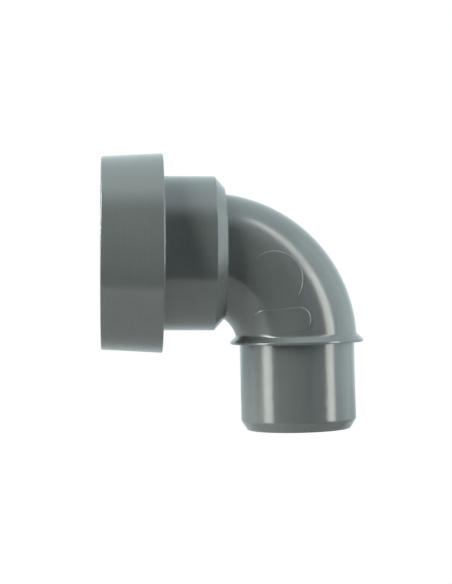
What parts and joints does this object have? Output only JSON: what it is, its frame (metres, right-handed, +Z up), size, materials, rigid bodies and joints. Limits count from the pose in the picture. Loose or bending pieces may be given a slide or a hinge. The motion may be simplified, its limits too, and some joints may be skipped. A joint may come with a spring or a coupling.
{
  "type": "pvc waste elbow",
  "caption": "Grey PVC waste elbow turning through a near right angle, with a wide stepped socket, a short bend and a flanged spigot, moulded in one piece.",
  "frame": {"origin": "on the cup's axis at the inner end of the socket bore, where the pipe stops", "axes": "-X points out of the cup's mouth, +Z is up with the spigot hanging down, and +Y is the normal of the plane that both pipe axes lie in"},
  "size_m": [0.0914, 0.0692, 0.0961],
  "materials": {
    "grey_pvc": "glossy moulded grey PVC"
  },
  "bodies": {
    "root": {"elbow": "grey_pvc"}
  },
  "joints": []
}
